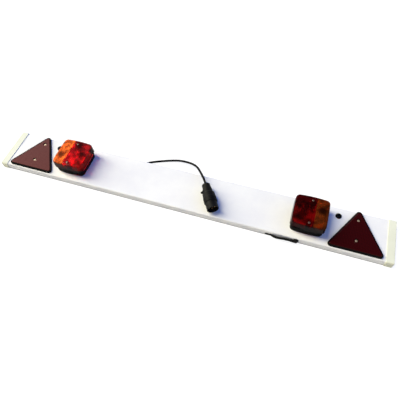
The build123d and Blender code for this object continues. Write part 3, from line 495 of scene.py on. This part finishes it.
def moulded_finish(name, colour, patch, roughness, grain_scale, relief, dust, shine=0.1):
    """Moulded plastic or rubber: fine grain, patches of another tone and a little dust."""
    material, tree, shader = new_finish(name, {"Specular IOR Level": shine})
    grain = use_group(tree, "moulded grain", {"Scale": grain_scale})
    dusty = use_group(tree, "settled dust", {"Amount": dust})
    tone = colour_mix(tree, grain.outputs["Patches"], colour, patch)
    tone = colour_mix(tree, dusty.outputs["Mask"], tone, DUST_GREY)
    tree.links.new(tone, shader.inputs["Base Color"])
    rough = spread(tree, grain.outputs["Patches"], roughness + SMOOTHER, roughness + ROUGHER)
    tree.links.new(rough, shader.inputs["Roughness"])
    set_bump(tree, shader, grain.outputs["Height"], strength=0.35, distance=relief)
    return material


def board_finish(name, colour, patch):
    """White extruded plastic with faint lines along it and short scratches."""
    material, tree, shader = new_finish(name, {"Specular IOR Level": 0.4})
    lines = use_group(tree, "drawn lines")
    grain = use_group(tree, "moulded grain", {"Scale": 700.0})
    tone = colour_mix(tree, grain.outputs["Patches"], colour, patch)
    worn = arithmetic(tree, "MULTIPLY", lines.outputs["Scratches"], SCRATCH_SHARE)
    tone = colour_mix(tree, worn, tone, SCRATCH_GREY)
    tree.links.new(tone, shader.inputs["Base Color"])
    rough = spread(tree, lines.outputs["Lines"], low=0.30, high=0.46)
    tree.links.new(rough, shader.inputs["Roughness"])
    set_bump(tree, shader, lines.outputs["Lines"], strength=0.25, distance=0.0002)
    return material


def metal_finish(name, colour, dull, roughness):
    """Turned or plated metal with dull patches."""
    material, tree, shader = new_finish(name, {"Metallic": 1.0})
    place = object_place(tree)
    patches = mask(tree, noise(tree, place, scale=260.0, detail=3.0), start=0.35, end=0.7)
    tree.links.new(colour_mix(tree, patches, colour, dull), shader.inputs["Base Color"])
    rough = spread(tree, patches, roughness, roughness + DULL_ROUGHNESS)
    tree.links.new(rough, shader.inputs["Roughness"])
    set_bump(tree, shader, noise(tree, place, scale=1600.0), strength=0.2, distance=0.00005)
    return material


def reflector_finish(name, colour, dark):
    """Red reflector moulding with triangular prisms behind a smooth face."""
    material, tree, shader = new_finish(name, {"Roughness": 0.2, "Specular Tint": REFLECTOR_SHEEN})
    prisms = use_group(tree, "prism cells", {"Scale": 75.0})
    place = tree.nodes.new("ShaderNodeSeparateXYZ")
    tree.links.new(object_place(tree), place.inputs["Vector"])
    # Below these heights the reflector is black: painted shade on its lower edge and in its screw wells
    climb = mask(tree, place.outputs["Z"], *REFLECTOR_SHADE_RISE)
    face = colour_mix(tree, prisms.outputs["Cells"], dark, colour)
    tree.links.new(colour_mix(tree, climb, WELL_SHADE_BLACK, face), shader.inputs["Base Color"])
    set_bump(tree, shader, prisms.outputs["Height"], strength=0.15, distance=0.0004)
    return material


def lens_finish(name, colour, round_shade, shading, light_in, roughness, clearness):
    """Coloured see-through moulding that lets light in to the plate behind it."""
    settings = {"Roughness": roughness, "Transmission Weight": clearness, "IOR": LENS_IOR}
    material, tree, shader = new_finish(name, settings)
    zones = use_group(tree, "lens zones")
    prisms = use_group(tree, "prism cells", {"Scale": 110.0})
    cloud = noise(tree, object_place(tree), scale=75.0)
    blotches = spread(tree, cloud, low=0.25, high=1.0, start=0.38, end=0.62)
    cells = spread(tree, prisms.outputs["Cells"], low=0.75, high=1.0)
    colour_share = arithmetic(tree, "MULTIPLY", cells, blotches)
    colour_share = arithmetic(tree, "MULTIPLY", zones.outputs["Unshadowed"], colour_share)
    # In the rounds the amber and red lenses take their darker colour: painted shade of the lamp's inside;
    # the window and the bulbs pass their own colours there
    tone = colour_mix(tree, colour_share, round_shade, colour)
    # Below the shade heights a lens takes its shading colour: painted shade on the lower walls and rim of
    # the amber and red lenses; the window and the bulbs pass their own colours there
    tree.links.new(colour_mix(tree, zones.outputs["Unshaded"], shading, tone), shader.inputs["Base Color"])
    set_bump(tree, shader, prisms.outputs["Height"], strength=0.1, distance=0.0004)
    light = tree.nodes.new("ShaderNodeLightPath")
    glow = add_node(tree, "ShaderNodeBsdfTransparent", {"Color": light_in})
    mix = tree.nodes.new("ShaderNodeMixShader")
    output = tree.nodes["Material Output"]
    tree.links.new(light.outputs["Is Shadow Ray"], mix.inputs["Fac"])
    tree.links.new(shader.outputs["BSDF"], mix.inputs[1])
    tree.links.new(glow.outputs["BSDF"], mix.inputs[2])
    tree.links.new(mix.outputs["Shader"], output.inputs["Surface"])
    return material


def floor_finish(name, half_length, half_width):
    """A pale floor that looks white, but dark under the board and in its shadow."""
    material = bpy.data.materials.new(name)
    material.use_nodes = True
    tree = material.node_tree
    tree.nodes.clear()
    light = tree.nodes.new("ShaderNodeLightPath")
    seen = arithmetic(tree, "MAXIMUM", light.outputs["Is Camera Ray"], light.outputs["Is Glossy Ray"])
    seen = arithmetic(tree, "MAXIMUM", seen, light.outputs["Is Transmission Ray"])
    place = tree.nodes.new("ShaderNodeSeparateXYZ")
    tree.links.new(object_place(tree), place.inputs["Vector"])
    from_middle = [arithmetic(tree, "ABSOLUTE", place.outputs[axis], 0.0) for axis in ("X", "Y")]
    along = arithmetic(tree, "LESS_THAN", from_middle[0], half_length)
    across = arithmetic(tree, "LESS_THAN", from_middle[1], half_width)
    under = arithmetic(tree, "MULTIPLY", along, across)
    bounce = add_node(tree, "ShaderNodeBsdfDiffuse", {"Color": FLOOR_BOUNCE})
    shadowed = add_node(tree, "ShaderNodeBsdfDiffuse", {"Color": FLOOR_SHADE})
    white = add_node(tree, "ShaderNodeEmission", {"Color": ROOM_WHITE})
    tree.links.new(spread(tree, under, low=FLOOR_GLOW, high=0.0), white.inputs["Strength"])
    lit = tree.nodes.new("ShaderNodeAddShader")
    mix = tree.nodes.new("ShaderNodeMixShader")
    output = tree.nodes.new("ShaderNodeOutputMaterial")
    tree.links.new(shadowed.outputs["BSDF"], lit.inputs[0])
    tree.links.new(white.outputs["Emission"], lit.inputs[1])
    tree.links.new(seen, mix.inputs["Fac"])
    tree.links.new(bounce.outputs["BSDF"], mix.inputs[1])
    tree.links.new(lit.outputs["Shader"], mix.inputs[2])
    tree.links.new(mix.outputs["Shader"], output.inputs["Surface"])
    return material


def dress(material, *names):
    """Give CAD nodes their finish."""
    for name in names:
        data = nodes[name].data
        data.materials.clear()
        data.materials.append(material)


def both(*stems):
    """The left and right nodes of each stem."""
    return [f"{stem}_{side}" for stem in stems for side in SIDES]


def select_only(target):
    """Make one object the selected and active one."""
    bpy.ops.object.select_all(action="DESELECT")
    target.select_set(True)
    bpy.context.view_layer.objects.active = target


# Stage
def aim(place, target):
    """The turn of a lamp at a place that looks at a target."""
    return (Vector(target) - Vector(place)).to_track_quat("-Z", "Y").to_euler()


def add_softbox(name, place, target, size, power, colour):
    """A square softbox that looks at a target."""
    bpy.ops.object.light_add(type="AREA", location=place, rotation=aim(place, target))
    lamp = bpy.context.object
    lamp.name = name
    lamp.data.size = size
    lamp.data.energy = power
    lamp.data.color = colour
    return lamp


def light_only(lamp, name, *lit):
    """Let a lamp light some CAD nodes alone."""
    group = bpy.data.collections.new(name)
    for node in lit:
        group.objects.link(nodes[node])
    lamp.light_linking.receiver_collection = group


def set_room_light(sizes):
    """Light from round the horizon, cooler from the back and right, in a room that looks white."""
    world = bpy.data.worlds.new("studio room")
    world.use_nodes = True
    tree = world.node_tree
    place = tree.nodes.new("ShaderNodeTexCoord")
    height = tree.nodes.new("ShaderNodeSeparateXYZ")
    backward = tree.nodes.new("ShaderNodeVectorMath")
    backward.operation = "DOT_PRODUCT"
    backward.inputs[1].default_value = BACK_RIGHT
    tree.links.new(place.outputs["Generated"], height.inputs["Vector"])
    tree.links.new(place.outputs["Generated"], backward.inputs[0])
    behind = mask(tree, backward.outputs["Value"], *WALL_CHANGE)
    climb = mask(tree, height.outputs["Z"], *CEILING_CHANGE)
    wall = colour_mix(tree, behind, sizes.world_front, sizes.world_back)
    shed = colour_mix(tree, climb, wall, sizes.world_high)
    mirrored = colour_mix(tree, climb, sizes.mirrored_wall, sizes.mirrored_high)
    light = tree.nodes.new("ShaderNodeLightPath")
    rays = (light.outputs["Is Glossy Ray"], light.outputs["Is Transmission Ray"])
    shown = colour_mix(tree, arithmetic(tree, "MAXIMUM", *rays), shed, mirrored)
    seen = colour_mix(tree, light.outputs["Is Camera Ray"], shown, ROOM_WHITE)
    tree.links.new(seen, tree.nodes["Background"].inputs["Color"])
    bpy.context.scene.world = world


class LIGHTING_BOARD_OT_stage(bpy.types.Operator):
    """Add the camera, the floor and the studio lights"""

    bl_idname = "lighting_board.stage"
    bl_label = "Stage"

    def execute(self, context):
        sizes = context.scene.lighting_board.stage
        bpy.ops.object.select_all(action="DESELECT")
        bpy.ops.object.camera_add(location=sizes.camera_place, rotation=sizes.camera_turn)
        camera = context.object
        camera.name = "photo_camera"
        camera.data.lens = sizes.camera_lens
        context.scene.camera = camera
        bpy.ops.mesh.primitive_plane_add(size=sizes.floor_size, location=(0.0, 0.0, -sizes.floor_drop))
        floor = context.object
        floor.name = "studio_floor"
        _, board_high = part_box("board")
        floor.data.materials.append(floor_finish("studio floor", board_high.x, board_high.y))
        key = add_softbox(
            "key_softbox", sizes.key_place, BOARD_MIDDLE, sizes.key_width, sizes.key_power, sizes.key_colour
        )
        key.data.shape = "RECTANGLE"
        key.data.size_y = sizes.key_height
        add_softbox(
            "front_softbox", sizes.fill_place, BOARD_MIDDLE, sizes.fill_size, sizes.fill_power, PLAIN_LIGHT
        )
        panel = add_softbox(
            "dim_panel", sizes.panel_place, LEFT_SIDE, sizes.panel_size, sizes.panel_power, PLAIN_LIGHT
        )
        light_only(panel, "left reflector pieces", "reflector_lens_left", "reflector_tray_left")
        spark = add_softbox(
            "lamp_softbox", sizes.spark_place, LEFT_LAMP, sizes.spark_size, sizes.spark_power, PLAIN_LIGHT
        )
        light_only(spark, "left lamp pieces", *LEFT_LAMP_NODES)
        set_room_light(sizes)
        context.scene.view_settings.view_transform = "Standard"
        return {"FINISHED"}


# Cable
def fold_points(end_x, centre_y, radius, height, first_angle, count):
    """Control points of one half turn: the corners of the polygon that lies round it."""
    step = math.pi / count
    reach = radius / math.cos(step / 2)
    points = []
    for index in range(count):
        angle = first_angle - (index + 0.5) * step
        points.append((end_x + reach * math.cos(angle), centre_y + reach * math.sin(angle), height))
    return points


def hank_points(sizes):
    """The hank's control points: in turn by turn in the lower layer, up, and out in the upper one."""
    centre_x, centre_y = sizes.hank_centre
    right_x = centre_x + sizes.hank_run / 2
    left_x = centre_x - sizes.hank_run / 2
    inward = [sizes.first_radius + sizes.pitch * index for index in reversed(range(sizes.turns))]
    radii = inward + inward[::-1]
    heights = [sizes.low_layer] * sizes.turns + [sizes.low_layer + sizes.layer_step] * sizes.turns
    points = []
    for turn, (radius, height) in enumerate(zip(radii, heights)):
        near_y = centre_y - radius
        points += [(right_x - share * sizes.hank_run, near_y, height) for share in NEAR_SHARES]
        if turn == len(radii) - 1:
            break
        points += fold_points(left_x, centre_y, radius, height, -math.pi / 2, sizes.fold_points)
        next_radius = radii[turn + 1]
        next_height = heights[turn + 1]
        # Along the far run upper turns move out first, then the middle turn climbs, then lower turns move in
        if turn < sizes.turns - 1:
            start = 2 * MOVE_SHARE
        elif turn == sizes.turns - 1:
            start = MOVE_SHARE
        else:
            start = 0
        for share in FAR_SHARES:
            moved = min(max((share - start) / MOVE_SHARE, 0), 1)
            far_y = centre_y + radius + moved * (next_radius - radius)
            points.append((left_x + share * sizes.hank_run, far_y, height + moved * (next_height - height)))
        points += fold_points(right_x, centre_y, next_radius, next_height, math.pi / 2, sizes.fold_points)
    return points


class LIGHTING_BOARD_OT_cable(bpy.types.Operator):
    """Lay the trailing cable from the boot, through its hank, to the plug"""

    bl_idname = "lighting_board.cable"
    bl_label = "Trailing cable"

    def execute(self, context):
        sizes = context.scene.lighting_board.cable
        colours = context.scene.lighting_board.colours
        points = FRONT_ROUTE + hank_points(sizes) + PLUG_ROUTE
        curve = bpy.data.curves.new("trailing_cable", "CURVE")
        curve.dimensions = "3D"
        curve.bevel_depth = sizes.diameter / 2
        curve.bevel_resolution = SHEATH_RESOLUTION
        curve.resolution_u = CABLE_STEPS
        curve.use_fill_caps = True
        line = curve.splines.new("NURBS")
        line.points.add(len(points) - 1)
        for point, place in zip(line.points, points):
            point.co = (*place, 1.0)
        line.order_u = CABLE_ORDER
        line.use_endpoint_u = True
        cable = bpy.data.objects.new("trailing_cable", curve)
        context.collection.objects.link(cable)
        sheath = moulded_finish(
            "cable sheath",
            colours.sheath_black,
            colours.sheath_grey,
            roughness=0.42,
            grain_scale=1500.0,
            relief=0.00004,
            dust=0.01,
            shine=0.05,
        )
        curve.materials.append(sheath)
        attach(cable, "root")
        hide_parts(*CABLE_NODES)
        return {"FINISHED"}


# Screws
def select_faces(target, wanted):
    """In edit mode, select the faces that a test picks."""
    bpy.ops.mesh.select_all(action="DESELECT")
    mesh = bmesh.from_edit_mesh(target.data)
    for face in mesh.faces:
        if wanted(face):
            face.select_set(True)
    bmesh.update_edit_mesh(target.data)


def cut_slot(screw, centre, size):
    """Cut one arm of the cross recess into a screw's head."""
    bpy.ops.mesh.primitive_cube_add(size=1.0, location=centre)
    cutter = bpy.context.object
    cutter.scale = size
    select_only(screw)
    cut = screw.modifiers.new("recess", "BOOLEAN")
    cut.operation = "DIFFERENCE"
    cut.object = cutter
    bpy.ops.object.modifier_apply(modifier=cut.name)
    bpy.data.objects.remove(cutter, do_unlink=True)


def model_screw(place, low, high, head, head_height, shank, sizes):
    """One pan-head screw between two heights, with a domed head and a cross recess."""
    x, y = place
    bpy.ops.object.select_all(action="DESELECT")
    bpy.ops.mesh.primitive_cylinder_add(
        vertices=SCREW_SIDES, radius=head / 2, depth=head_height, location=(x, y, high - head_height / 2)
    )
    screw = bpy.context.object
    bpy.ops.object.transform_apply(location=True, rotation=True, scale=True)
    bpy.ops.object.mode_set(mode="EDIT")
    bpy.ops.mesh.select_mode(type="FACE")
    select_faces(screw, lambda face: face.normal.z < -FACING)
    bpy.ops.mesh.inset(thickness=(head - shank) / 2)
    drop = (0.0, 0.0, low - (high - head_height))
    bpy.ops.mesh.extrude_region_move(TRANSFORM_OT_translate={"value": drop})
    bpy.ops.mesh.bevel(offset=shank * TIP_SHARE, segments=1, affect="EDGES")
    select_faces(screw, lambda face: face.normal.z > FACING)
    bpy.ops.mesh.bevel(offset=head_height * DOME_SHARE, segments=DOME_STEPS, affect="EDGES")
    bpy.ops.object.mode_set(mode="OBJECT")
    middle = (x, y, high - sizes.slot_depth / 2)
    depth = sizes.slot_depth * SLOT_MARGIN
    cut_slot(screw, middle, (sizes.slot_length, sizes.slot_width, depth))
    cut_slot(screw, middle, (sizes.slot_width, sizes.slot_length, depth))
    return screw


def make_screw_set(name, node, places, head, head_height, shank, sizes):
    """A set of like screws that stands for a CAD node."""
    low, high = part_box(node)
    first = model_screw(places[0], low.z, high.z, head, head_height, shank, sizes)
    made = [first]
    for x, y in places[1:]:
        select_only(first)
        bpy.ops.object.duplicate()
        bpy.ops.transform.translate(value=(x - places[0][0], y - places[0][1], 0.0))
        bpy.ops.object.transform_apply(location=True, rotation=True, scale=True)
        made.append(bpy.context.object)
    for screw in made:
        screw.select_set(True)
    bpy.context.view_layer.objects.active = first
    bpy.ops.object.join()
    bpy.ops.object.shade_smooth_by_angle(angle=SMOOTH_ANGLE)
    first.name = name
    first.data.materials.append(nodes[node].data.materials[0])
    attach(first, "root")
    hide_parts(node)


class LIGHTING_BOARD_OT_screws(bpy.types.Operator):
    """Model the cross-head screws of the reflectors and lenses"""

    bl_idname = "lighting_board.screws"
    bl_label = "Cross-head screws"

    def execute(self, context):
        sizes = context.scene.lighting_board.screws
        reflector_places = [(x, y) for x in REFLECTOR_SCREW_XS for y in REFLECTOR_SCREW_YS]
        lens_places = [(x, y) for x in LENS_SCREW_XS for y in LENS_SCREW_YS]
        make_screw_set(
            "reflector_cross_screws",
            "reflector_screws",
            reflector_places,
            sizes.reflector_head,
            sizes.reflector_head_height,
            sizes.reflector_shank,
            sizes,
        )
        make_screw_set(
            "lens_cross_screws",
            "lens_screws",
            lens_places,
            sizes.lens_head,
            sizes.lens_head_height,
            sizes.lens_shank,
            sizes,
        )
        return {"FINISHED"}


# Finishes
class LIGHTING_BOARD_OT_groups(bpy.types.Operator):
    """Make the grain, line, dust, prism and lens patterns that the finishes use"""

    bl_idname = "lighting_board.groups"
    bl_label = "Shared patterns"

    def execute(self, context):
        make_moulded_grain()
        make_drawn_lines()
        make_settled_dust()
        make_prism_cells()
        make_lens_zones()
        return {"FINISHED"}


class LIGHTING_BOARD_OT_board(bpy.types.Operator):
    """Finish the white board and its cream end caps"""

    bl_idname = "lighting_board.board"
    bl_label = "Board and caps"

    def execute(self, context):
        colours = context.scene.lighting_board.colours
        dress(board_finish("white extrusion", colours.board_white, colours.board_shade), "board")
        cream = moulded_finish(
            "cream caps",
            colours.cap_cream,
            colours.cap_shade,
            roughness=0.45,
            grain_scale=500.0,
            relief=0.0001,
            dust=0.02,
            shine=0.03,
        )
        dress(cream, *both("end_cap"))
        return {"FINISHED"}


class LIGHTING_BOARD_OT_reflectors(bpy.types.Operator):
    """Finish the reflectors and the black mouldings: trays, lamp bases and plug"""

    bl_idname = "lighting_board.reflectors"
    bl_label = "Reflectors and black mouldings"

    def execute(self, context):
        colours = context.scene.lighting_board.colours
        prisms = reflector_finish("red reflector", colours.reflector_red, colours.reflector_dark)
        dress(prisms, *both("reflector_lens"))
        black = moulded_finish(
            "black moulding",
            colours.moulding_black,
            colours.moulding_grey,
            roughness=0.45,
            grain_scale=800.0,
            relief=0.0001,
            dust=0.01,
            shine=0.07,
        )
        dress(black, *PLUG_MOULDINGS)
        matt = moulded_finish(
            "matt black",
            colours.rubber_black,
            colours.moulding_black,
            roughness=0.6,
            grain_scale=800.0,
            relief=0.0001,
            dust=0.005,
            shine=0.025,
        )
        dress(matt, *both("reflector_tray", "lamp_base"))
        return {"FINISHED"}


class LIGHTING_BOARD_OT_lamps(bpy.types.Operator):
    """Finish the lamps: lenses, windows, plates, bulbs and holders, and all the metal fixings"""

    bl_idname = "lighting_board.lamps"
    bl_label = "Lamps and fixings"

    def execute(self, context):
        colours = context.scene.lighting_board.colours
        amber = (colours.amber, colours.amber_round_shade, colours.amber_wall_shade, colours.amber_light)
        dress(lens_finish("amber lens", *amber, roughness=0.06, clearness=0.885), *both("lens_amber"))
        red = (colours.red, colours.red_round_shade, colours.red_wall_shade, colours.red_light)
        dress(lens_finish("red lens", *red, roughness=0.06, clearness=0.95), *both("lens_red"))
        window = (colours.clear, colours.clear_frost, colours.clear_frost, colours.clear_light)
        dress(lens_finish("clear window", *window, roughness=0.25, clearness=1.0), *both("plate_window"))
        white = moulded_finish(
            "lamp plate",
            colours.lamp_white,
            colours.lamp_shade,
            roughness=0.4,
            grain_scale=600.0,
            relief=0.00005,
            dust=0.0,
        )
        dress(white, *both("bulb_plate"))
        brass = metal_finish("brass", colours.brass, colours.brass_dull, roughness=0.25)
        dress(brass, *both("indicator_bulb_cap", "stop_bulb_cap"), "plug_contacts")
        bulb = (colours.bulb, colours.bulb, colours.bulb, colours.clear_light)
        glass = lens_finish("bulb glass", *bulb, roughness=0.02, clearness=1.0)
        dress(glass, *both("indicator_bulb_glass", "stop_bulb_glass"))
        zinc = metal_finish("zinc plate", colours.zinc, colours.zinc_dull, roughness=0.3)
        dress(zinc, *both("indicator_holder", "stop_holder"))
        dress(zinc, "lamp_bolts", "lamp_washers", "lamp_nuts", "reflector_washers", "reflector_nuts")
        bright = metal_finish("bright screws", colours.steel, colours.steel_dull, roughness=0.35)
        dress(bright, "reflector_screws")
        dull = metal_finish("dull screws", colours.screw_dull, colours.screw_dark, roughness=0.3)
        dress(dull, "lens_screws")
        return {"FINISHED"}


class LIGHTING_BOARD_OT_wiring(bpy.types.Operator):
    """Finish the gaskets, grommets, boot, leads, clips and ties"""

    bl_idname = "lighting_board.wiring"
    bl_label = "Wiring and rubber"

    def execute(self, context):
        colours = context.scene.lighting_board.colours
        rubber = moulded_finish(
            "black rubber",
            colours.rubber_black,
            colours.rubber_grey,
            roughness=0.5,
            grain_scale=1100.0,
            relief=0.0001,
            dust=0.01,
            shine=0.05,
        )
        dress(rubber, *both("lashing_grommet", "lens_gasket"), "entry_grommets", "exit_boot")
        dress(bpy.data.materials["cable sheath"], "lamp_lead", "link_lead", *CABLE_NODES)
        strap = moulded_finish(
            "black strap",
            colours.rubber_black,
            colours.rubber_grey,
            roughness=0.8,
            grain_scale=2600.0,
            relief=0.0003,
            dust=0.06,
        )
        dress(strap, "hank_ties")
        clip = moulded_finish(
            "white clips",
            colours.lamp_white,
            colours.lamp_shade,
            roughness=0.4,
            grain_scale=600.0,
            relief=0.00005,
            dust=0.02,
        )
        dress(clip, "link_clips")
        return {"FINISHED"}


# Panel and registration
class LIGHTING_BOARD_PT_panel(bpy.types.Panel):
    """The steps that finish the lighting board"""

    bl_idname = "LIGHTING_BOARD_PT_panel"
    bl_label = "Lighting board"
    bl_space_type = "VIEW_3D"
    bl_region_type = "UI"
    bl_category = "Lighting board"

    def draw(self, context):
        for step in STEPS:
            self.layout.operator(step.bl_idname)


STEPS = (
    LIGHTING_BOARD_OT_groups,
    LIGHTING_BOARD_OT_stage,
    LIGHTING_BOARD_OT_cable,
    LIGHTING_BOARD_OT_board,
    LIGHTING_BOARD_OT_reflectors,
    LIGHTING_BOARD_OT_lamps,
    LIGHTING_BOARD_OT_screws,
    LIGHTING_BOARD_OT_wiring,
)
CLASSES = (
    CableSizes,
    ScrewSizes,
    StageSizes,
    FinishColours,
    LightingBoardSettings,
    *STEPS,
    LIGHTING_BOARD_PT_panel,
)


def register():
    """Register the classes and the scene's settings."""
    for made in CLASSES:
        bpy.utils.register_class(made)
    bpy.types.Scene.lighting_board = PointerProperty(type=LightingBoardSettings)


def unregister():
    """Take back what register did."""
    del bpy.types.Scene.lighting_board
    for made in reversed(CLASSES):
        bpy.utils.unregister_class(made)


def main():
    """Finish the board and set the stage."""
    register()
    bpy.ops.lighting_board.groups()
    bpy.ops.lighting_board.stage()
    bpy.ops.lighting_board.cable()
    bpy.ops.lighting_board.board()
    bpy.ops.lighting_board.reflectors()
    bpy.ops.lighting_board.lamps()
    bpy.ops.lighting_board.screws()
    bpy.ops.lighting_board.wiring()


if __name__ == "__main__":
    main()
